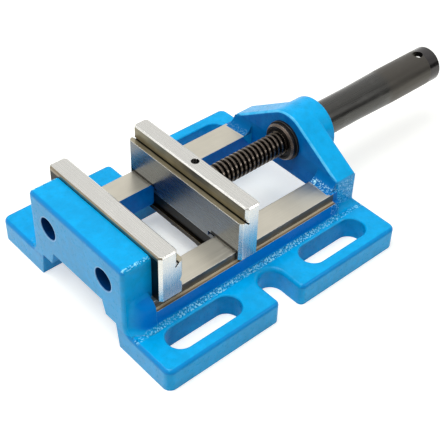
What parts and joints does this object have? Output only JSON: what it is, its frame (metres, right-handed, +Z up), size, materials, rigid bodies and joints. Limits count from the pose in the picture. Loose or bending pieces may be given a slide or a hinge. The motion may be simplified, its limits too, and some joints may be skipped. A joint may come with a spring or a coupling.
{
  "type": "drill press vise",
  "caption": "Low drill press vise with slotted base flanges, ground steel jaws on open ways, a lead screw and a long tube handle with a cross-hole.",
  "frame": {"origin": "centre of the four base slots, on the plane of the base's underside", "axes": "+X along the spindle from the fixed jaw to the handle, +Y to the left when looking along +X, +Z up"},
  "size_m": [0.351, 0.19, 0.076],
  "materials": {
    "blue_paint": "gloss blue enamel over cast iron, with the ways ground bare",
    "ground_steel": "surface ground steel",
    "blackened_steel": "blackened, lightly oiled steel",
    "fastener_steel": "black oxide steel fasteners and washers",
    "bronze": "turned bearing bronze"
  },
  "bodies": {
    "base": {"body_casting": "blue_paint", "fixed_jaw_plate": "ground_steel", "fixed_jaw_screw_left": "fastener_steel", "fixed_jaw_screw_right": "fastener_steel", "fixed_jaw_washer_left": "fastener_steel", "fixed_jaw_washer_right": "fastener_steel", "sleeve_bush": "bronze", "thrust_washer_front": "blackened_steel", "thrust_washer_rear": "fastener_steel"},
    "jaw_unit": {"moving_jaw": "ground_steel", "guide_block": "ground_steel", "keeper_plate": "ground_steel", "keeper_screw_left": "fastener_steel", "keeper_screw_right": "fastener_steel", "keeper_dowel_left": "fastener_steel", "keeper_dowel_right": "fastener_steel", "spindle_screw": "blackened_steel", "spindle_lock_screw": "fastener_steel"},
    "handle_unit": {"threaded_sleeve": "blackened_steel", "handle_tube": "blackened_steel", "handle_lock_screw_side": "fastener_steel", "handle_lock_screw_lower": "fastener_steel"}
  },
  "joints": [
    {"name": "handle_spin", "type": "hinge", "parent": "base", "child": "handle_unit", "pos_m": [0, 0, 0.0523], "axis": [1, 0, 0], "range_deg": [-4320, 6460]},
    {"name": "jaw_slide", "type": "slide", "parent": "base", "child": "jaw_unit", "axis": [1, 0, 0], "range_m": [-0.04801, 0.0718]}
  ],
  "couplings": [
    {"joint": "jaw_slide", "follows": "handle_spin", "m_per_rad": 0.00063662}
  ]
}
